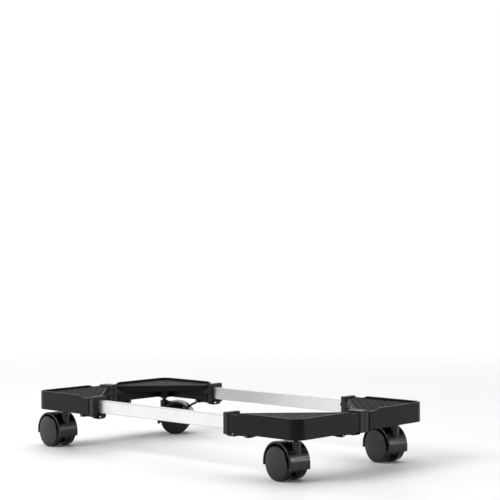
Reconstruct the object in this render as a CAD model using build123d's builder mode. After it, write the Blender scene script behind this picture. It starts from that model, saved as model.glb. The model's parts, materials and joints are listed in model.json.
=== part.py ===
from build123d import *
import os
from math import cos, radians, sin

# Rolling stand for a computer tower: four corner trays on four bars, each tray on a
# hooded twin-wheel caster. Origin on the floor under the middle of the whole footprint,
# which takes in the casters that stand out past the trays. +Z up, front towards -Y.
# All sizes in millimetres.

# Whole stand, as set at rest, and the middle of its four trays
stand_length = 440.0
stand_width = 220.0
trays_middle = (-5.2, -8.0)

# Corner trays
tray_arm = 110.0
arm_width = 20.0
outer_wall = 3.0
inner_wall = 2.5
corner_radius = 14.0
tray_bottom = 48.3
rim_top = 71.0
rim_round = 0.7
dip_top = 68.7
dip_foot = 18.0
dip_head = 30.0
deck_top = 67.3
deck_under = 65.9
rib_thick = 1.8
rib_bottom = 61.0
rib_places = (45.0, 70.0)
lip_gap = 2.0
block_length = 33.0
saddle_span = (40.0, 50.0)

# Anti-slip pads
pad_thick = 0.9
pad_margin = 0.8
pad_round = 2.0

# Bars: rectangular tube
bar_width = 8.0
bar_height = 15.0
bar_wall = 1.2
bar_round = 0.8
bar_bottom = 50.7
bar_inset = 8.0
bar_start = 18.0
long_bar = 375.0
cross_bar = 184.0
slide_gap = 0.2
bar_middle = bar_inset + bar_width / 2
bar_top = bar_bottom + bar_height

# End guides, which close the mouths of the arms
guide_start = 0.1
guide_length = 7.2
guide_groove = 1.6
guide_step = 1.2
guide_bottom = 46.2
guide_top = 70.4
guide_round = 0.6
tongue_thick = 1.2
tongue_height = 6.6
tongue_reach = 16.5
tongue_level = 61.0
arm_face = guide_length + guide_groove

# Screws through the floor of an arm into its bar
screw_places = (17.0, 45.0)
screw_radius = 1.5
screw_hole = 1.7
screw_head_radius = 3.0
screw_head_height = 1.7
screw_tip = 54.0
screw_recess = 1.1
screw_slot = 0.8

# Lock levers under the arms, each ending in a loop below the arm's mouth
lever_width = 7.4
lever_half = 2.3
pivot_along = 29.5
pivot_level = 45.6
pin_radius = 1.0
pin_bore = 1.06
ear_span = (27.0, 32.0)
ear_thick = 2.0
ear_gap = 0.5
ear_bottom = 44.0
window_span = (10.4, 20.4)
shoe_span = (12.0, 18.0)
shoe_top = 50.4
waist_span = (13.0, 25.0)
waist_level = 44.8
loop_span = (-0.6, 6.6)
loop_foot = 9.0
loop_level = 43.2
loop_thick = 1.1
neck_along = 8.2
hook_tips = {"side": (-5.6, 49.4), "end": (-3.6, 45.7)}

# Casters: hooded, with two wheels on one axle behind a vertical stem
stem_inset = 25.2
wheel_radius = 19.0
trail = 16.4
hood_radius = 24.0
hood_thick = 2.2
hood_half = 13.9
hood_round = 0.8
front_lip_angle = 14.0
rear_lip_angle = 9.0
bridge_top = 42.6
bridge_half = 3.8
web_half = 4.6
hub_radius = 6.0
boss_radius = 5.4
boss_top = 43.9
boss_foot = 30.0
swivel_radius = 2.6
swivel_bore = 2.65
swivel_foot = 27.0
swivel_floor = 26.4
collar_radius = 4.1
collar_bottom = 46.4
stem_radius = 3.5
stem_top = 61.0
bush_radius = 5.5
bush_top = 62.5
bush_bottom = 49.3
tray_boss_radius = 8.5
axle_radius = 2.0
axle_bore = 2.06
axle_half = 13.3
well_radius = hood_radius - hood_thick

# Wheels
wheel_inner = 5.1
wheel_face = 15.0
wheel_crown = 15.8
wheel_rim = 3.0
wheel_plate = 12.7
wheel_hub = 5.0
wheel_cap = 13.6
rim_radius = 1.2
edge_break = 0.6

# Brake pedal of the rear right caster
pedal_half = 7.5
pedal_slot_half = 7.8
pedal_pivot_radius = 22.1
pedal_pivot_angle = 48.0
pedal_hub = 1.9
trunnion_radius = 0.86
trunnion_bore = 0.9
cheek_half = 9.8
cheek_radius = 20.2
cheek_angles = (41.0, 55.0)
slot_angles = (40.0, 57.0)
pocket_radius = 18.7
pocket_angles = (26.0, 58.0)
shoe_radii = (20.5, 21.4)
shoe_angles = (33.0, 48.0)
pedal_tip = (42.8, 40.9)
pedal_bend = (37.0, 38.2)
pedal_thick = 2.2
pedal_toe = 1.5

# Corners: sign of x, sign of y, caster heading in degrees from +Y, and braked or not
corners = {
    "front_left": (-1, -1, 8.8, False),
    "rear_left": (-1, 1, 3.5, False),
    "front_right": (1, -1, 10.0, False),
    "rear_right": (1, 1, 142.0, True),
}

# Corners whose end arm is screwed to its bar; all other arms have a lock lever
screwed_corners = ("rear_left", "front_right")


def screwed(corner, arm):
    """Whether an arm is screwed to its bar."""
    return arm == "end" and corner in screwed_corners


def spot(corner, u, v):
    """Point u inboard of a tray's side face and v inboard of its end face."""
    sx, sy = corners[corner][:2]
    mx, my = trays_middle
    return (mx + sx * (stand_width / 2 - u), my + sy * (stand_length / 2 - v))


def arm_spot(corner, arm, s, w):
    """Point s back from an arm's end and w inboard of its outer face."""
    if arm == "side":
        return spot(corner, w, tray_arm - s)
    return spot(corner, tray_arm - s, w)


def arm_plane(corner, arm, w):
    """Upright plane along an arm: local x runs back from its end, local y is up."""
    sx, sy = corners[corner][:2]
    along = Vector(0, sy, 0) if arm == "side" else Vector(sx, 0, 0)
    origin = Vector(*arm_spot(corner, arm, 0, w), 0)
    return Plane(origin=origin, x_dir=along, z_dir=along.cross(Vector(0, 0, 1)))


def caster_plane(corner):
    """Upright middle plane of a caster: local x runs from stem to axle, local y is up."""
    heading = radians(corners[corner][2])
    back = Vector(sin(heading), cos(heading), 0)
    origin = Vector(*spot(corner, stem_inset, stem_inset), 0)
    return Plane(origin=origin, x_dir=back, z_dir=back.cross(Vector(0, 0, 1)))


def round_axle(radius, angle):
    """Point on a caster's middle plane, by radius and angle about its axle."""
    return (trail + radius * cos(radians(angle)), wheel_radius + radius * sin(radians(angle)))


def arm_block(corner, arm, s_span, w_span, z_span, mode=Mode.ADD):
    """Box along, across and up one arm."""
    x0, y0 = arm_spot(corner, arm, s_span[0], w_span[0])
    x1, y1 = arm_spot(corner, arm, s_span[1], w_span[1])
    with Locations(((x0 + x1) / 2, (y0 + y1) / 2, sum(z_span) / 2)):
        Box(abs(x1 - x0), abs(y1 - y0), z_span[1] - z_span[0], mode=mode)


def save(piece, node):
    """Label a finished piece and write its file."""
    piece.label = node
    export_step(piece, f"parts/{node}.step")


def tray(corner):
    """Corner tray: two rimmed walls, deck, bar channels, caster boss and lock ears."""
    reach = tray_arm - arm_face
    far = 2 * tray_arm
    lip_start = arm_width + lip_gap
    bar_hole = (bar_inset - slide_gap, bar_inset + bar_width + slide_gap)
    bar_rise = (bar_bottom - slide_gap, deck_under)
    inner_face = arm_width - inner_wall
    block_width = (outer_wall / 2, arm_width - inner_wall / 2)
    boss_spot = spot(corner, stem_inset, stem_inset)
    with BuildPart() as body:
        with BuildSketch(Plane.XY.offset(tray_bottom)) as outline:
            with BuildLine():
                Polyline(
                    spot(corner, 0, 0),
                    spot(corner, reach, 0),
                    spot(corner, reach, arm_width),
                    spot(corner, arm_width, reach),
                    spot(corner, 0, reach),
                    close=True,
                )
            make_face()
            corner_point = outline.vertices().sort_by_distance(Vector(*spot(corner, 0, 0), tray_bottom))[0]
            fillet(corner_point, corner_radius)
        extrude(amount=rim_top - tray_bottom)
        # Seat recess inside the rim
        with BuildSketch(Plane.XY.offset(deck_top)) as seat:
            with BuildLine():
                Polyline(
                    spot(corner, outer_wall, outer_wall),
                    spot(corner, far, outer_wall),
                    spot(corner, far, far),
                    spot(corner, outer_wall, far),
                    close=True,
                )
            make_face()
            seat_point = Vector(*spot(corner, outer_wall, outer_wall), deck_top)
            fillet(seat.vertices().sort_by_distance(seat_point)[0], corner_radius - outer_wall)
        extrude(amount=rim_top, mode=Mode.SUBTRACT)
        fillet(body.edges().group_by(Axis.Z)[-1], rim_round)
        # Open underside between the arms
        arm_block(
            corner, "side", (-far, tray_arm - arm_width), (arm_width, far),
            (tray_bottom, deck_under), Mode.SUBTRACT,
        )
        # Bar channels, which meet in the corner
        with BuildSketch(Plane.XY.offset(tray_bottom)) as channels:
            with BuildLine():
                Polyline(
                    spot(corner, outer_wall, outer_wall),
                    spot(corner, far, outer_wall),
                    spot(corner, far, inner_face),
                    spot(corner, inner_face, inner_face),
                    spot(corner, inner_face, far),
                    spot(corner, outer_wall, far),
                    close=True,
                )
            make_face()
            channel_point = Vector(*spot(corner, outer_wall, outer_wall), tray_bottom)
            fillet(channels.vertices().sort_by_distance(channel_point)[0], corner_radius - outer_wall)
        extrude(amount=deck_under - tray_bottom, mode=Mode.SUBTRACT)
        for arm in ("side", "end"):
            arm_block(corner, arm, (arm_face, block_length), block_width, (tray_bottom, deck_top))
            arm_block(corner, arm, saddle_span, block_width, (tray_bottom, deck_top))
            for rib in rib_places:
                rib_span = (tray_arm - rib - rib_thick, tray_arm - rib)
                rib_width = (block_width[1], tray_arm - rib + arm_width / 2)
                arm_block(corner, arm, rib_span, rib_width, (rib_bottom, deck_under))
        # Lip under the deck's slanting edge
        with BuildSketch(Plane.XY.offset(rib_bottom)):
            with BuildLine():
                Polyline(
                    spot(corner, reach - lip_gap, lip_start),
                    spot(corner, lip_start, reach - lip_gap),
                    spot(corner, lip_start, reach - lip_gap - 2 * rib_thick),
                    spot(corner, reach - lip_gap - 2 * rib_thick, lip_start),
                    close=True,
                )
            make_face()
        extrude(amount=deck_under - rib_bottom)
        # Boss for the caster stem
        with BuildSketch(Plane.XY.offset(tray_bottom)):
            with Locations(boss_spot):
                Circle(tray_boss_radius)
        extrude(amount=deck_under - tray_bottom)
        with BuildSketch(Plane.XY.offset(tray_bottom)):
            with Locations(boss_spot):
                Circle(bush_radius)
        extrude(amount=bush_top - tray_bottom, mode=Mode.SUBTRACT)
        for arm in ("side", "end"):
            arm_block(corner, arm, (0, saddle_span[1]), bar_hole, bar_rise, Mode.SUBTRACT)
            # Rim drops in a smooth step towards the arm's end
            with BuildSketch(arm_plane(corner, arm, outer_wall / 2)):
                with BuildLine():
                    foot = (dip_foot, dip_top)
                    head = (dip_head, rim_top + rim_round)
                    Polyline(head, (dip_head, far), (0, far), (0, dip_top), foot)
                    Spline(foot, head, tangents=((1, 0), (1, 0)))
                make_face()
            extrude(amount=outer_wall, both=True, mode=Mode.SUBTRACT)
            if screwed(corner, arm):
                for place in screw_places:
                    with BuildSketch(Plane.XY.offset(tray_bottom)):
                        with Locations(arm_spot(corner, arm, place, bar_middle)):
                            Circle(screw_hole)
                    extrude(amount=bar_bottom - tray_bottom, mode=Mode.SUBTRACT)
            else:
                window = (bar_middle - lever_width / 2 - slide_gap, bar_middle + lever_width / 2 + slide_gap)
                arm_block(corner, arm, window_span, window, (tray_bottom, bar_bottom), Mode.SUBTRACT)
                near = lever_width / 2 + ear_gap
                for side in (-1, 1):
                    ear = (bar_middle + side * near, bar_middle + side * (near + ear_thick))
                    arm_block(corner, arm, ear_span, (min(ear), max(ear)), (ear_bottom, tray_bottom))
                with BuildSketch(arm_plane(corner, arm, bar_middle)):
                    with Locations((pivot_along, pivot_level)):
                        Circle(pin_radius)
                extrude(amount=near + ear_thick, both=True, mode=Mode.SUBTRACT)
    save(body.part, f"tray_{corner}")


def pad(corner):
    """Thin anti-slip sheet that covers a tray's deck."""
    near = outer_wall + pad_margin
    reach = tray_arm - arm_face - pad_margin
    wide = arm_width - pad_margin
    with BuildPart() as sheet:
        with BuildSketch(Plane.XY.offset(deck_top)) as outline:
            with BuildLine():
                Polyline(
                    spot(corner, near, near),
                    spot(corner, reach, near),
                    spot(corner, reach, wide),
                    spot(corner, wide, reach),
                    spot(corner, near, reach),
                    close=True,
                )
            make_face()
            inner_corner = Vector(*spot(corner, near, near), deck_top)
            fillet(outline.vertices().sort_by_distance(inner_corner)[0], corner_radius - near)
            fillet(outline.vertices().sort_by_distance(inner_corner)[2:], pad_round)
        extrude(amount=pad_thick)
    save(sheet.part, f"pad_{corner}")


def end_guide(corner, arm):
    """Guide that closes an arm's mouth round the bar, with a snap tongue inside."""
    tongue = arm_plane(corner, arm, arm_width + tongue_thick / 2)
    with BuildPart() as guide:
        arm_block(corner, arm, (guide_start, guide_length), (0, arm_width), (guide_bottom, guide_top))
        fillet(guide.edges(), guide_round)
        arm_block(corner, arm, (guide_length / 2, arm_face), (guide_step, arm_width - guide_step),
                  (tray_bottom + guide_step, deck_top - guide_step))
        with BuildSketch(tongue):
            with Locations((tongue_reach / 2, tongue_level)):
                SlotOverall(tongue_reach, tongue_height)
        extrude(amount=tongue_thick / 2, both=True)
        arm_block(corner, arm, (-guide_length, 2 * arm_face),
                  (bar_inset - slide_gap, bar_inset + bar_width + slide_gap),
                  (bar_bottom - slide_gap, bar_top + slide_gap), Mode.SUBTRACT)
    save(guide.part, f"guide_{arm}_{corner}")


def bar(node, plane, length, holes):
    """Rectangular tube from the plane's origin along its normal, drilled for any screws."""
    with BuildPart() as tube:
        with BuildSketch(plane):
            RectangleRounded(bar_width, bar_height, bar_round)
            Rectangle(bar_width - 2 * bar_wall, bar_height - 2 * bar_wall, mode=Mode.SUBTRACT)
        extrude(amount=length)
        if holes:
            with BuildSketch(Plane.XY.offset(bar_bottom)):
                with Locations(*holes):
                    Circle(screw_radius)
            extrude(amount=bar_wall, mode=Mode.SUBTRACT)
    save(tube.part, node)


def screws(corner):
    """Pan-head screws that hold a cross bar, driven from below."""
    places = [arm_spot(corner, "end", s, bar_middle) for s in screw_places]
    with BuildPart() as group:
        with BuildSketch(Plane.XY.offset(tray_bottom)):
            with Locations(*places):
                Circle(screw_head_radius)
        extrude(amount=-screw_head_height)
        fillet(group.edges().group_by(Axis.Z)[0], edge_break)
        with BuildSketch(Plane.XY.offset(tray_bottom)):
            with Locations(*places):
                Circle(screw_radius)
        extrude(amount=screw_tip - tray_bottom)
        with BuildSketch(Plane.XY.offset(tray_bottom - screw_head_height)):
            with Locations(*places):
                Rectangle(screw_head_radius, screw_slot)
                Rectangle(screw_slot, screw_head_radius)
        extrude(amount=screw_recess, mode=Mode.SUBTRACT)
    save(group.part, f"screws_{corner}")


def hook_curve(tip, inset):
    """Upturned end of a lever's loop, drawn in its side sketch."""
    bend = loop_span[0]
    reach = bend - tip[0] - inset
    rise = tip[1] - loop_level - inset
    middle = (bend - reach * cos(radians(45)), tip[1] - rise * sin(radians(45)))
    return ThreePointArc((bend, loop_level + inset), middle, (tip[0] + inset, tip[1]))


def lock_lever(corner, arm):
    """Lever that presses its shoe on the bar and ends in a loop under the arm's mouth."""
    low = pivot_level - lever_half
    high = pivot_level + lever_half
    tip = hook_tips[arm]
    with BuildPart() as lever:
        with BuildSketch(arm_plane(corner, arm, bar_middle)):
            with BuildLine():
                tail = (pivot_along + lever_half, pivot_level)
                ThreePointArc((pivot_along, high), tail, (pivot_along, low))
                Polyline(
                    (pivot_along, low),
                    (waist_span[1], waist_level),
                    (waist_span[0], waist_level),
                    (loop_foot, loop_level),
                    (loop_span[0], loop_level),
                )
                hook_curve(tip, 0)
                Line(tip, (tip[0] + loop_thick, tip[1]))
                hook_curve(tip, loop_thick)
                Polyline(
                    (loop_span[0], loop_level + loop_thick),
                    (loop_span[1], loop_level + loop_thick),
                    (neck_along, high),
                    (shoe_span[0], high),
                    (shoe_span[0], shoe_top),
                    (shoe_span[1], shoe_top),
                    (shoe_span[1], high),
                    (pivot_along, high),
                )
            make_face()
            with Locations((pivot_along, pivot_level)):
                Circle(pin_bore, mode=Mode.SUBTRACT)
        extrude(amount=lever_width / 2, both=True)
    save(lever.part, f"lever_{arm}_{corner}")


def lock_pins(corner):
    """Pivot pins of a tray's lock levers."""
    half = lever_width / 2 + ear_gap + ear_thick
    with BuildPart() as pins:
        for arm in [arm for arm in ("side", "end") if not screwed(corner, arm)]:
            with BuildSketch(arm_plane(corner, arm, bar_middle)):
                with Locations((pivot_along, pivot_level)):
                    Circle(pin_radius)
            extrude(amount=half, both=True)
    save(pins.part, f"lock_pins_{corner}")


def stem_bush(corner):
    """Metal bush in the tray's boss that takes the caster stem."""
    with BuildPart() as bush:
        with BuildSketch(Plane.XY.offset(bush_bottom)):
            with Locations(spot(corner, stem_inset, stem_inset)):
                Circle(bush_radius)
                Circle(stem_radius, mode=Mode.SUBTRACT)
        extrude(amount=bush_top - bush_bottom)
    save(bush.part, f"bush_{corner}")


def caster_stem(corner):
    """Stem: shank in the bush, collar under the tray, swivel pin in the hood."""
    place = spot(corner, stem_inset, stem_inset)
    with BuildPart() as stem:
        with BuildSketch(Plane.XY.offset(swivel_foot)):
            with Locations(place):
                Circle(swivel_radius)
        extrude(amount=collar_bottom - swivel_foot)
        chamfer(stem.edges().group_by(Axis.Z)[0], edge_break)
        with BuildSketch(Plane.XY.offset(collar_bottom)):
            with Locations(place):
                Circle(collar_radius)
        extrude(amount=tray_bottom - collar_bottom)
        with BuildSketch(Plane.XY.offset(tray_bottom)):
            with Locations(place):
                Circle(stem_radius)
        extrude(amount=stem_top - tray_bottom)
        chamfer(stem.edges().group_by(Axis.Z)[-1], edge_break)
    save(stem.part, f"stem_{corner}")


def hood(corner):
    """Caster hood: shell over both wheels, middle web, stem boss and brake slot."""
    side = caster_plane(corner)
    axle = (trail, wheel_radius)
    below = 2 * hood_radius
    rear_ray = round_axle(below, -rear_lip_angle)
    front_ray = round_axle(below, 180 + front_lip_angle)
    cut = (axle, rear_ray, (trail + below, -below), (trail - below, -below), front_ray)
    bridge = ((0, boss_foot), (trail, boss_foot), (trail, bridge_top), (0, bridge_top))
    with BuildPart() as body:
        with BuildSketch(side):
            with Locations(axle):
                Circle(hood_radius)
            with BuildLine():
                Polyline(*cut, close=True)
            make_face(mode=Mode.SUBTRACT)
        extrude(amount=hood_half, both=True)
        fillet(body.edges().filter_by(GeomType.CIRCLE), hood_round)
        with BuildSketch(side):
            with Locations(axle):
                Circle(hub_radius)
        extrude(amount=web_half, both=True)
        with BuildSketch(side):
            with BuildLine():
                Polyline(*bridge, close=True)
            make_face()
        extrude(amount=bridge_half, both=True)
        with BuildSketch(Plane.XY.offset(boss_foot)):
            with Locations(spot(corner, stem_inset, stem_inset)):
                Circle(boss_radius)
        extrude(amount=boss_top - boss_foot)
        for way in (-1, 1):
            with BuildSketch(side.offset(way * web_half)):
                with Locations(axle):
                    Circle(well_radius)
            extrude(amount=way * hood_radius, mode=Mode.SUBTRACT)
        with BuildSketch(Plane.XY.offset(swivel_floor)):
            with Locations(spot(corner, stem_inset, stem_inset)):
                Circle(swivel_bore)
        extrude(amount=boss_top, mode=Mode.SUBTRACT)
        with BuildSketch(side):
            with Locations(axle):
                Circle(axle_radius)
        extrude(amount=hood_half, both=True, mode=Mode.SUBTRACT)
        if corners[corner][3]:
            with BuildSketch(side):
                sector(cheek_radius, well_radius + hood_thick / 2, cheek_angles)
            extrude(amount=cheek_half, both=True)
            with BuildSketch(side):
                sector(well_radius - 1, hood_radius + 1, slot_angles)
                sector(pocket_radius, well_radius, pocket_angles)
            extrude(amount=pedal_slot_half, both=True, mode=Mode.SUBTRACT)
            with BuildSketch(side):
                with Locations(round_axle(pedal_pivot_radius, pedal_pivot_angle)):
                    Circle(trunnion_bore)
            extrude(amount=cheek_half + 1, both=True, mode=Mode.SUBTRACT)
    save(body.part, f"hood_{corner}")


def sector(inner, outer, angles, mode=Mode.ADD):
    """Piece of a ring about a caster's axle, drawn in its side sketch."""
    first, last = angles
    middle = (first + last) / 2
    with BuildSketch(mode=Mode.PRIVATE) as piece:
        with BuildLine():
            ThreePointArc(round_axle(outer, first), round_axle(outer, middle), round_axle(outer, last))
            Line(round_axle(outer, last), round_axle(inner, last))
            ThreePointArc(round_axle(inner, last), round_axle(inner, middle), round_axle(inner, first))
            Line(round_axle(inner, first), round_axle(outer, first))
        make_face()
    add(piece.sketch, mode=mode)


def caster_axle(corner):
    """Axle pressed into the hood's web."""
    with BuildPart() as axle:
        with BuildSketch(caster_plane(corner)):
            with Locations((trail, wheel_radius)):
                Circle(axle_radius)
        extrude(amount=axle_half, both=True)
        chamfer(axle.edges().filter_by(GeomType.CIRCLE), edge_break / 2)
    save(axle.part, f"axle_{corner}")


def wheel(corner, way, name):
    """Wheel with a crowned outer face, hollow behind, turning on the axle."""
    side = caster_plane(corner)
    outward = side.z_dir * way
    centre = side.from_local_coords(Vector(trail, wheel_radius, 0))
    section = Plane(origin=centre, x_dir=outward, z_dir=outward.cross(Vector(0, 0, 1)))
    groove_foot = wheel_radius - wheel_rim
    face_edge = wheel_radius - rim_radius
    tread_edge = wheel_face - rim_radius
    with BuildPart() as disc:
        with BuildSketch(section):
            with BuildLine():
                crown_middle = (wheel_face + (wheel_crown - wheel_face) * 3 / 4, face_edge / 2)
                ThreePointArc((wheel_crown, 0), crown_middle, (wheel_face, face_edge))
                diagonal = rim_radius * cos(radians(45))
                rim_middle = (tread_edge + diagonal, face_edge + diagonal)
                ThreePointArc((wheel_face, face_edge), rim_middle, (tread_edge, wheel_radius))
                Polyline(
                    (tread_edge, wheel_radius),
                    (wheel_inner + edge_break, wheel_radius),
                    (wheel_inner, wheel_radius - edge_break),
                    (wheel_inner, groove_foot),
                    (wheel_plate, groove_foot),
                    (wheel_plate, wheel_hub),
                    (wheel_inner, wheel_hub),
                    (wheel_inner, axle_bore),
                    (wheel_cap, axle_bore),
                    (wheel_cap, 0),
                    (wheel_crown, 0),
                )
            make_face()
        revolve(axis=Axis(centre, outward))
    save(disc.part, f"wheel_{name}_{corner}")


def brake_pedal(corner):
    """Pedal on trunnions in the hood, with a shoe that closes on both treads."""
    side = caster_plane(corner)
    pivot = round_axle(pedal_pivot_radius, pedal_pivot_angle)
    with BuildPart() as pedal:
        with BuildSketch(side):
            with Locations(pivot):
                Circle(pedal_hub)
            sector(*shoe_radii, shoe_angles)
            with BuildLine() as spine:
                Spline(pivot, pedal_bend, pedal_tip)
            trace(line_width=pedal_thick)
            with Locations(pedal_tip):
                Circle(pedal_toe)
        extrude(amount=pedal_half, both=True)
        with BuildSketch(side):
            with Locations(pivot):
                Circle(trunnion_radius)
        extrude(amount=cheek_half, both=True)
    save(pedal.part, f"brake_pedal_{corner}")


os.makedirs("parts", exist_ok=True)

for corner in corners:
    tray(corner)
    pad(corner)
    stem_bush(corner)
    caster_stem(corner)
    hood(corner)
    caster_axle(corner)
    wheel(corner, 1, "a")
    wheel(corner, -1, "b")
    for arm in ("side", "end"):
        end_guide(corner, arm)
        if not screwed(corner, arm):
            lock_lever(corner, arm)
    lock_pins(corner)
    if corner in screwed_corners:
        screws(corner)
    if corners[corner][3]:
        brake_pedal(corner)

bar_level = bar_bottom + bar_height / 2
for name, tray_side in (("left", "front_left"), ("right", "front_right")):
    start = Vector(*spot(tray_side, bar_middle, bar_start), bar_level)
    bar(f"bar_{name}", Plane(origin=start, x_dir=(-1, 0, 0), z_dir=(0, 1, 0)), long_bar, [])
cross_bars = {"front": ("front_left", "front_right"), "rear": ("rear_left", "rear_left")}
for name, (tray_side, screwed_side) in cross_bars.items():
    start = Vector(*spot(tray_side, bar_start, bar_middle), bar_level)
    holes = [arm_spot(screwed_side, "end", s, bar_middle) for s in screw_places]
    bar(f"bar_{name}", Plane(origin=start, x_dir=(0, 1, 0), z_dir=(1, 0, 0)), cross_bar, holes)
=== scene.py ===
"""Looks of the rolling computer-tower stand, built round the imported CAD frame.

Metres, in the CAD's own frame: origin on the floor under the middle of the footprint, front
towards -Y. Hard parts are the CAD's shapes with their moulded edges broken, and the anti-slip
pads are modelled here as ribbed nets.
"""
import json
import math

import bmesh
import bpy
from mathutils import Matrix, Vector
from mathutils.bvhtree import BVHTree


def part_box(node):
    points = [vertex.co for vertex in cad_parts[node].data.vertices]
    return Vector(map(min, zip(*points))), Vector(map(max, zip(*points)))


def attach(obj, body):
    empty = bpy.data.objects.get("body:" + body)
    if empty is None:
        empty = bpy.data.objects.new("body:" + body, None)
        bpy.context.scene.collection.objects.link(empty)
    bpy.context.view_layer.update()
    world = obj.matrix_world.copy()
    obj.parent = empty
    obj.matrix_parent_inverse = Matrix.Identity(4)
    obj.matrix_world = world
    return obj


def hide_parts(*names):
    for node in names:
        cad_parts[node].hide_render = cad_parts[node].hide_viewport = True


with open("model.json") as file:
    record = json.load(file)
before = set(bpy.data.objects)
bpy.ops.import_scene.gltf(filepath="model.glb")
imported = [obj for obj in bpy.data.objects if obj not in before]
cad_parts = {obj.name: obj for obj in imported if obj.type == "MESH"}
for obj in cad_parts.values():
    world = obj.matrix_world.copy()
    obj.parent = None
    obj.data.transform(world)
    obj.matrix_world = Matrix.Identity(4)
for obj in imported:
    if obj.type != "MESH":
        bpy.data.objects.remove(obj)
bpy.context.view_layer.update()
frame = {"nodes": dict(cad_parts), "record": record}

MM = 0.001
CORNERS = ("front_left", "rear_left", "front_right", "rear_right")
BODY_OF = {n: b for b, names in frame["record"]["behaviour"]["bodies"].items() for n in names}

tray_boxes = [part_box(f"tray_{c}") for c in CORNERS]
trays_low = Vector([min(b[0][i] for b in tray_boxes) for i in range(3)])
trays_high = Vector([max(b[1][i] for b in tray_boxes) for i in range(3)])
trays_middle = Vector(((trays_low.x + trays_high.x) / 2, (trays_low.y + trays_high.y) / 2, 0))
seat_level, pad_level = (end.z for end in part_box("pad_front_left"))

# ---------------------------------------------------------------- camera

VIEW_AZIMUTH = math.radians(46.24)
VIEW_PITCH = math.radians(0.55)
VIEW_ROLL = math.radians(0.37)
VIEW_PLACE = Vector((-1.2180, -1.2138, 0.26275))
LENS_MM = 102.84
SENSOR_MM = 36.0


def make_camera():
    """Long lens just above the stand, at the photograph's angle."""
    data = bpy.data.cameras.new("camera")
    data.sensor_width = SENSOR_MM
    data.lens = LENS_MM
    data.clip_start = 0.05
    data.clip_end = 80.0
    camera = bpy.data.objects.new("camera", data)
    bpy.context.scene.collection.objects.link(camera)
    forward = Vector((
        math.sin(VIEW_AZIMUTH) * math.cos(VIEW_PITCH),
        math.cos(VIEW_AZIMUTH) * math.cos(VIEW_PITCH),
        -math.sin(VIEW_PITCH),
    ))
    right = Vector((math.cos(VIEW_AZIMUTH), -math.sin(VIEW_AZIMUTH), 0))
    up = right.cross(forward)
    turned_right = math.cos(VIEW_ROLL) * right - math.sin(VIEW_ROLL) * up
    turned_up = math.sin(VIEW_ROLL) * right + math.cos(VIEW_ROLL) * up
    matrix = Matrix((turned_right, turned_up, -forward)).transposed().to_4x4()
    matrix.translation = trays_middle + VIEW_PLACE
    camera.matrix_world = matrix
    bpy.context.scene.camera = camera


make_camera()

# ---------------------------------------------------------------- materials


def wire(tree, kind, inputs=None, **settings):
    """Adds a node; an input is either another node's socket or a value."""
    node = tree.nodes.new(kind)
    for key, value in settings.items():
        setattr(node, key, value)
    for key, value in (inputs or {}).items():
        if isinstance(value, bpy.types.NodeSocket):
            tree.links.new(value, node.inputs[key])
        else:
            node.inputs[key].default_value = value
    return node


class Nodes:
    """Short forms for wiring one material's nodes."""

    def __init__(self, name):
        self.material = bpy.data.materials.new(name)
        self.material.use_nodes = True
        self.tree = self.material.node_tree
        self.shader = self.tree.nodes["Principled BSDF"]
        self.place = self.add("ShaderNodeTexCoord").outputs["Object"]

    def add(self, kind, inputs=None, **settings):
        return wire(self.tree, kind, inputs, **settings)

    def stretched(self, scale):
        """Object coordinates scaled by a factor per axis."""
        return self.add("ShaderNodeMapping", {"Vector": self.place, "Scale": scale}).outputs["Vector"]

    def noise(self, scale, detail=2.0, rough=0.5, where=None):
        return self.add(
            "ShaderNodeTexNoise",
            {"Vector": where or self.place, "Scale": scale, "Detail": detail, "Roughness": rough},
        ).outputs["Fac"]

    def remap(self, value, span, to=(0.0, 1.0)):
        """Takes span onto to, held at both ends."""
        return self.add("ShaderNodeMapRange", {
            "Value": value, "From Min": span[0], "From Max": span[1], "To Min": to[0], "To Max": to[1],
        }).outputs["Result"]

    def math(self, operation, a, b):
        return self.add("ShaderNodeMath", {0: a, 1: b}, operation=operation).outputs["Value"]

    def blend(self, factor, a, b):
        """Colour a turning into colour b; the numbers are the Mix node's colour sockets."""
        return self.add("ShaderNodeMix", {0: factor, 6: a, 7: b}, data_type="RGBA").outputs[2]

    def height(self):
        """Object coordinate Z, which is the height above the floor."""
        return self.add("ShaderNodeSeparateXYZ", {"Vector": self.place}).outputs["Z"]

    def upward(self):
        """1 on faces that look straight up, 0 on upright ones."""
        normal = self.add("ShaderNodeNewGeometry").outputs["Normal"]
        return self.add("ShaderNodeSeparateXYZ", {"Vector": normal}).outputs["Z"]

    def edges(self, radius, span):
        """1 on outer edges and 0 on flat faces, from how far a rounded normal leans."""
        bent = self.add("ShaderNodeBevel", {"Radius": radius}, samples=6).outputs["Normal"]
        flat = self.add("ShaderNodeNewGeometry").outputs["True Normal"]
        lean = self.add("ShaderNodeVectorMath", {0: bent, 1: flat}, operation="DOT_PRODUCT")
        return self.remap(lean.outputs["Value"], (1 - span[0], 1 - span[1]))

    def bump(self, height, depth, strength=1.0, under=None):
        inputs = {"Height": height, "Distance": depth, "Strength": strength}
        if under is not None:
            inputs["Normal"] = under
        return self.add("ShaderNodeBump", inputs).outputs["Normal"]

    def link(self, name, value):
        self.tree.links.new(value, self.shader.inputs[name])

    def fixed(self, **values):
        for name, value in values.items():
            self.shader.inputs[name.replace("_", " ")].default_value = value


def grey(level, warm=0.0):
    """A near-neutral colour, as a linear level."""
    return (level * (1 + warm), level, level * (1 - warm), 1)


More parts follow.
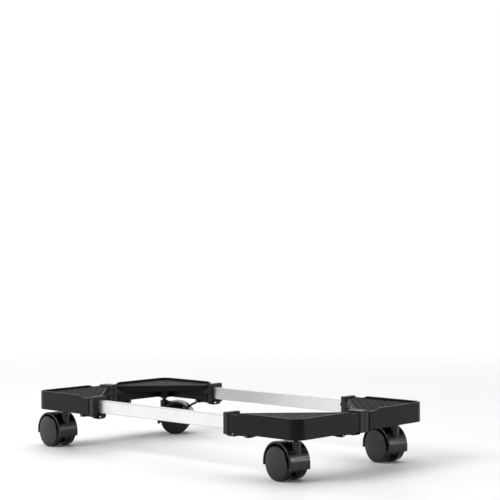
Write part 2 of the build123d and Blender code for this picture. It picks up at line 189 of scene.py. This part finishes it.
def moulded(name, level, rough, grain, depth, wear=0.5, gloss=0.5, matt_floor=None):
    """Moulded plastic: spark-eroded grain, faint flow mottling, rubbed edges and fine scuffs.

    Faces that look up at or below matt_floor have a coarser grain.
    """
    n = Nodes(name)
    cloud = n.remap(n.noise(38, 3, 0.6), (0.3, 0.7))
    fine = n.noise(grain, 2, 0.55)
    body = n.blend(cloud, grey(level * 0.86), grey(level * 1.14, -0.01))
    flecks = n.remap(fine, (0.62, 0.8), (0.0, 0.35))
    body = n.blend(flecks, body, grey(level * 1.9))
    patchy = n.remap(n.noise(160, 4, 0.65), (0.42, 0.62))
    rubbed = n.math("MULTIPLY", n.edges(0.0007, (0.02, 0.35)), patchy)
    body = n.blend(n.math("MULTIPLY", rubbed, wear), body, grey(level * 3.2 + 0.022))
    n.link("Base Color", body)
    streaks = n.remap(n.noise(1, 4, 0.7, n.stretched((900, 60, 140))), (0.55, 0.8), (0.0, 0.14))
    base = n.remap(cloud, (0, 1), (rough - 0.05, rough + 0.05))
    haze = n.math("ADD", base, streaks)
    if matt_floor is not None:
        lowered = n.remap(n.height(), (matt_floor + 0.8 * MM, matt_floor + 0.3 * MM))
        coarse = n.math("MULTIPLY", lowered, n.remap(n.upward(), (0.8, 0.95)))
        haze = n.math("ADD", haze, n.math("MULTIPLY", coarse, 0.5))
    n.link("Roughness", haze)
    n.link("Normal", n.bump(fine, depth, 0.8))
    n.fixed(Specular_IOR_Level=gloss)
    return n.material


def rubber(name):
    """Soft black rubber, a little wavy and matt in its pits, with dust in its pores."""
    n = Nodes(name)
    pores = n.noise(3200, 2, 0.6)
    waves = n.bump(n.noise(260, 2, 0.5), 0.0012, 1.0)
    dust = n.remap(n.noise(70, 4, 0.7), (0.5, 0.75), (0.0, 0.3))
    lying = n.math("MULTIPLY", dust, n.remap(n.upward(), (0.6, 1.0)))
    n.link("Base Color", n.blend(lying, grey(0.006), grey(0.018, 0.04)))
    pits = n.remap(n.height(), (pad_level - 0.1 * MM, pad_level - 0.45 * MM), (0.0, 0.6))
    n.link("Roughness", n.math("ADD", pits, n.remap(pores, (0.3, 0.7), (0.2, 0.3))))
    n.link("Normal", n.bump(pores, 0.00003, 0.7, waves))
    n.fixed(Specular_IOR_Level=0.3)
    return n.material


def bright_steel(name, along):
    """Bright plated tube, drawn lengthwise: fine die lines, faint haze and a painted dark reflection
    on its corners.
    """
    n = Nodes(name)
    scale = {"x": (5, 1500, 1500), "y": (1500, 5, 1500)}[along]
    lines = n.noise(1, 3, 0.6, n.stretched(scale))
    haze = n.remap(n.noise(22, 4, 0.6), (0.35, 0.7))
    tint = n.blend(haze, (0.86, 0.86, 0.865, 1), (0.79, 0.795, 0.81, 1))
    # Painted dark reflection: the base colour on the rounded corners turns dark grey, in place of dark
    # surroundings mirrored along those edges
    corners = n.edges(0.0013, (0.004, 0.06))
    n.link("Base Color", n.blend(corners, tint, grey(0.1)))
    rough = n.remap(lines, (0.3, 0.7), (0.26, 0.36))
    n.link("Roughness", n.math("ADD", rough, n.remap(haze, (0, 1), (0.0, 0.08))))
    n.link("Normal", n.bump(lines, 0.00001, 0.5))
    n.fixed(Metallic=1.0)
    return n.material


def zinc(name, level, rough, spangle):
    """Zinc-plated steel: small spangles, dull patches and rubbed edges."""
    n = Nodes(name)
    cells = n.add("ShaderNodeTexVoronoi", {"Vector": n.place, "Scale": spangle}).outputs["Distance"]
    cloud = n.remap(n.noise(240, 3, 0.6), (0.35, 0.65))
    plate = n.blend(cloud, grey(level * 0.8, -0.02), grey(level, -0.02))
    rubbed = n.math("MULTIPLY", n.edges(0.0004, (0.03, 0.4)), cloud)
    n.link("Base Color", n.blend(rubbed, plate, grey(min(0.9, level * 1.5))))
    n.link("Roughness", n.remap(cells, (0.0, 0.8), (rough - 0.06, rough + 0.1)))
    n.link("Normal", n.bump(cells, 0.00001, 0.5))
    n.fixed(Metallic=1.0)
    return n.material


MATERIALS = {
    "tray_plastic": moulded(
        "tray_plastic", 0.0035, 0.33, 2400, 0.00004, gloss=0.18, matt_floor=seat_level,
    ),
    "guide_plastic": moulded("guide_plastic", 0.008, 0.36, 3000, 0.00003, gloss=0.34),
    "lever_plastic": moulded("lever_plastic", 0.004, 0.44, 2600, 0.00003, gloss=0.2),
    "caster_nylon": moulded("caster_nylon", 0.003, 0.24, 4200, 0.000004, wear=0.3, gloss=0.42),
    "wheel_nylon": moulded("wheel_nylon", 0.0042, 0.27, 3600, 0.00001, wear=0.35, gloss=0.36),
    "pad_rubber": rubber("pad_rubber"),
    "bar_metal": bright_steel("bar_metal", "y"),
    "cross_bar_metal": bright_steel("cross_bar_metal", "x"),
    "stem_steel": zinc("stem_steel", 0.045, 0.34, 1400),
    "screw_steel": zinc("screw_steel", 0.30, 0.36, 1800),
}


def paint(obj, material):
    obj.data.materials.clear()
    obj.data.materials.append(MATERIALS[material])


# ---------------------------------------------------------------- hard parts


SHARP = math.radians(32)
NEARLY_FLAT = math.radians(0.6)
SAME_POINT = 0.002 * MM


def soften(node, radius, material):
    """A CAD part with its sharp edges broken, which stands for the node."""
    source = frame["nodes"][node]
    mesh = source.data.copy()
    mesh.attributes.remove(mesh.attributes["custom_normal"])
    work = bmesh.new()
    work.from_mesh(mesh)
    bmesh.ops.remove_doubles(work, verts=work.verts, dist=SAME_POINT)
    bmesh.ops.dissolve_limit(work, angle_limit=NEARLY_FLAT, verts=work.verts, edges=work.edges)
    surface = BVHTree.FromBMesh(work)
    edges = [e for e in work.edges if e.is_manifold and e.calc_face_angle() > SHARP]
    bmesh.ops.bevel(
        work, geom=edges, offset=radius, offset_type="OFFSET", segments=2, profile=0.6,
        affect="EDGES", clamp_overlap=False, loop_slide=True,
    )
    # A broken edge leaves the sharp surface by less than half its width
    for vert in work.verts:
        spot, _, _, away = surface.find_nearest(vert.co)
        if away > radius / 2:
            vert.co = spot
    for face in work.faces:
        face.smooth = True
    work.to_mesh(mesh)
    work.free()
    piece = bpy.data.objects.new(f"fine_{node}", mesh)
    bpy.context.scene.collection.objects.link(piece)
    mesh.set_sharp_from_angle(angle=SHARP)
    weigh = piece.modifiers.new("weigh", "WEIGHTED_NORMAL")
    weigh.keep_sharp = True
    paint(piece, material)
    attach(piece, BODY_OF[node])
    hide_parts(node)


# Width of the broken edges in mm, and the finish, for each family of nodes
SOFTENED = {
    "tray": (0.25, "tray_plastic"),
    "guide": (0.45, "guide_plastic"),
    "hood": (0.2, "caster_nylon"),
    "wheel": (0.15, "wheel_nylon"),
    "lever": (0.25, "lever_plastic"),
    "brake": (0.2, "lever_plastic"),
    "bar": (0.12, "bar_metal"),
    "stem": (0.12, "stem_steel"),
    "bush": (0.12, "stem_steel"),
    "axle": (0.08, "stem_steel"),
    "screws": (0.06, "screw_steel"),
    "lock": (0.08, "screw_steel"),
}

for name in frame["nodes"]:
    family = name.split("_")[0]
    if family in SOFTENED:
        size, slot = SOFTENED[family]
        finish = "cross_bar_metal" if name in ("bar_front", "bar_rear") else slot
        soften(name, size * MM, finish)

# ---------------------------------------------------------------- anti-slip pads

PAD_ARM_WIDTH = 15.4 * MM
PAD_CORNER_ROUND = 10.2 * MM
PAD_END_ROUND = 2 * MM
PAD_EDGE = 0.8 * MM
PAD_SIDE_ROUND = 0.25 * MM
NET_SHORT = 5.2 * MM
NET_LONG = 15 * MM
NET_SINK = 0.75 * MM
# Section of a ridge: share of the way in to the diamond's middle, share of the full depth
RIDGE = ((0, 0), (0.06, 0.1), (0.15, 0.6), (0.24, 1))
CREASE = math.radians(50)
NET_SEAM = 0.01 * MM
NET_TUCK = 0.1 * MM
NO_LENGTH = 0.001 * MM


def rounded_loop(corners, radii, inset, steps=8):
    """Points round a convex outline moved in by inset, with each corner rounded."""
    count = len(corners)
    loop = []
    for i, corner in enumerate(corners):
        back = (corners[i - 1] - corner).normalized()
        ahead = (corners[(i + 1) % count] - corner).normalized()
        half = back.angle(ahead) / 2
        inward = (back + ahead).normalized()
        radius = max(radii[i] - inset, 0.02 * MM)
        centre = corner + inward * ((inset + radius) / math.sin(half))
        reach = math.pi / 2 - half
        middle = math.atan2(-inward.y, -inward.x)
        turn = 1 if back.cross(ahead) < 0 else -1
        for k in range(steps + 1):
            angle = middle + turn * reach * (2 * k / steps - 1)
            loop.append(centre + radius * Vector((math.cos(angle), math.sin(angle))))
    return loop


def net_pad(corner):
    """Rubber pad over a tray's deck: a net of long diamonds inside a plain edge."""
    node = f"pad_{corner}"
    low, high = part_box(node)
    across = 1 if "left" in corner else -1
    along = 1 if "front" in corner else -1
    size = high.x - low.x
    wide = PAD_ARM_WIDTH
    outline = [Vector(p) for p in ((0, 0), (size, 0), (size, wide), (wide, size), (0, size))]
    radii = [PAD_CORNER_ROUND] + [PAD_END_ROUND] * 4
    top = high.z
    work = bmesh.new()
    # Plain edge: up the side, over a rounded corner, across and down to the net
    rings = []
    for inset, level in (
        (0, low.z), (0, top - PAD_SIDE_ROUND), (PAD_SIDE_ROUND * 0.3, top - PAD_SIDE_ROUND * 0.3),
        (PAD_SIDE_ROUND, top), (PAD_EDGE - PAD_SIDE_ROUND, top), (PAD_EDGE, top - NET_SINK),
    ):
        rings.append([work.verts.new((p.x, p.y, level)) for p in rounded_loop(outline, radii, inset)])
    for inner, outer in zip(rings[1:], rings):
        for i in range(len(outer)):
            j = (i + 1) % len(outer)
            work.faces.new((outer[i], outer[j], inner[j], inner[i]))
    work.faces.new(list(reversed(rings[0])))
    # Net: ridges round each diamond, clipped to the inside of the edge
    net = bmesh.new()
    bisector = Vector((1, 1)).normalized()
    beside = Vector((-1, 1)).normalized()
    steps = [(share, top - sunk * NET_SINK) for share, sunk in RIDGE]
    rows = int(size * 1.5 / NET_LONG) + 2
    columns = int(size * 1.5 / NET_SHORT) + 2
    for i in range(-1, 2 * rows):
        for j in range(-columns, columns):
            middle = bisector * (i * NET_LONG / 2) + beside * ((j + (i % 2) / 2) * NET_SHORT)
            if not all(-NET_LONG < place < size + NET_LONG for place in middle):
                continue
            diamond = []
            for share, level in steps:
                tips = []
                for reach in (
                    bisector * NET_LONG, beside * NET_SHORT, -bisector * NET_LONG, -beside * NET_SHORT,
                ):
                    point = middle + reach / 2 * (1 - share)
                    tips.append(net.verts.new((point.x, point.y, level)))
                diamond.append(tips)
            for outer, inner in zip(diamond, diamond[1:]):
                for k in range(4):
                    m = (k + 1) % 4
                    net.faces.new((outer[k], outer[m], inner[m], inner[k]))
            net.faces.new(diamond[-1])
    bmesh.ops.remove_doubles(net, verts=net.verts, dist=NET_SEAM)
    inner_loop = rounded_loop(outline, radii, PAD_EDGE - NET_TUCK)
    for i, point in enumerate(inner_loop):
        ahead = inner_loop[(i + 1) % len(inner_loop)] - point
        if ahead.length < NO_LENGTH:
            continue
        outward = Vector((ahead.y, -ahead.x, 0)).normalized()
        geometry = list(net.verts) + list(net.edges) + list(net.faces)
        bmesh.ops.bisect_plane(
            net, geom=geometry, plane_co=(point.x, point.y, top), plane_no=outward, clear_outer=True,
        )
    spare = bpy.data.meshes.new("net")
    net.to_mesh(spare)
    net.free()
    work.from_mesh(spare)
    bpy.data.meshes.remove(spare)
    for face in work.faces:
        face.smooth = True
    start = Vector((low.x if across > 0 else high.x, low.y if along > 0 else high.y, 0))
    work.transform(Matrix.Translation(start) @ Matrix.Diagonal((across, along, 1, 1)))
    if across * along < 0:
        bmesh.ops.reverse_faces(work, faces=work.faces)
    mesh = bpy.data.meshes.new(f"net_{node}")
    work.to_mesh(mesh)
    work.free()
    mesh.set_sharp_from_angle(angle=CREASE)
    piece = bpy.data.objects.new(f"net_{node}", mesh)
    bpy.context.scene.collection.objects.link(piece)
    paint(piece, "pad_rubber")
    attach(piece, BODY_OF[node])
    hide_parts(node)


for corner in CORNERS:
    net_pad(corner)

# ---------------------------------------------------------------- floor and light


FLOOR_RADIUS = 1.6
FLOOR_FADE = (0.45, 1.5)


def make_floor():
    """Pale round floor that fades out into the backdrop."""
    n = Nodes("floor")
    grain = n.noise(9, 4, 0.6)
    n.link("Base Color", n.blend(n.remap(grain, (0.3, 0.7)), grey(0.87), grey(0.9, 0.003)))
    n.link("Roughness", n.remap(grain, (0.3, 0.7), (0.5, 0.6)))
    n.fixed(Specular_IOR_Level=0.2)
    away = n.add("ShaderNodeVectorMath", {0: n.place}, operation="LENGTH").outputs["Value"]
    fade = n.remap(away, FLOOR_FADE)
    clear = n.add("ShaderNodeBsdfTransparent").outputs["BSDF"]
    mixed = n.add("ShaderNodeMixShader", {0: fade, 1: n.shader.outputs["BSDF"], 2: clear})
    n.tree.links.new(mixed.outputs["Shader"], n.tree.nodes["Material Output"].inputs["Surface"])
    work = bmesh.new()
    bmesh.ops.create_circle(work, cap_ends=True, segments=96, radius=FLOOR_RADIUS)
    mesh = bpy.data.meshes.new("floor")
    work.to_mesh(mesh)
    work.free()
    mesh.materials.append(n.material)
    floor = bpy.data.objects.new("floor", mesh)
    bpy.context.scene.collection.objects.link(floor)
    floor.location = trays_middle


def make_world():
    """White studio, open behind and beside the stand and dark round the photographer."""
    world = bpy.data.worlds.new("studio")
    bpy.context.scene.world = world
    world.use_nodes = True
    tree = world.node_tree

    ray = wire(tree, "ShaderNodeTexCoord").outputs["Generated"]
    seat = (-math.sin(VIEW_AZIMUTH), -math.cos(VIEW_AZIMUTH), 0)
    toward = wire(tree, "ShaderNodeVectorMath", {0: ray, 1: seat}, operation="DOT_PRODUCT")
    facing = toward.outputs["Value"]
    height = wire(tree, "ShaderNodeSeparateXYZ", {"Vector": ray}).outputs["Z"]
    open_side = wire(tree, "ShaderNodeMapRange", {
        "Value": facing, "From Min": 0.1, "From Max": 0.5, "To Min": 1.0, "To Max": 0.008,
    }, interpolation_type="SMOOTHSTEP").outputs["Result"]
    overhead = wire(tree, "ShaderNodeMapRange", {
        "Value": height, "From Min": 0.3, "From Max": 0.75, "To Min": 1.0, "To Max": 0.4,
    }).outputs["Result"]
    studio = wire(tree, "ShaderNodeMath", {0: open_side, 1: overhead}, operation="MULTIPLY")
    seen = wire(tree, "ShaderNodeLightPath").outputs["Is Camera Ray"]
    backdrop = wire(
        tree, "ShaderNodeMath", {0: studio.outputs["Value"], 1: seen}, operation="MAXIMUM",
    )
    tree.links.new(backdrop.outputs["Value"], tree.nodes["Background"].inputs["Strength"])
    tree.nodes["Background"].inputs["Color"].default_value = (1, 1, 1, 1)


def make_softbox(name, place, target, size, power):
    """Rectangular area light aimed at a point; metres and watts."""
    data = bpy.data.lights.new(name, "AREA")
    data.shape = "RECTANGLE"
    data.size, data.size_y = size
    data.energy = power
    light = bpy.data.objects.new(name, data)
    bpy.context.scene.collection.objects.link(light)
    light.location = place
    light.visible_camera = False
    light.rotation_mode = "QUATERNION"
    light.rotation_quaternion = (Vector(target) - Vector(place)).to_track_quat("-Z", "Y")


make_floor()
make_world()
make_softbox("overhead", (0.3, 0.3, 2.4), (0, 0, 0), (3.0, 3.0), 40)
make_softbox("key", (-1.9, 0.5, 1.5), (0, 0, 0), (1.1, 1.1), 34)
make_softbox("strip", (0.68, -1.45, 0.42), (0, -0.15, 0.04), (0.3, 0.4), 3.4)
make_softbox("back", (-0.5, 1.95, 0.22), (-0.1, 0, 0.06), (0.7, 0.42), 4.5)

scene = bpy.context.scene
scene.view_settings.view_transform = "Standard"

bpy.context.view_layer.update()
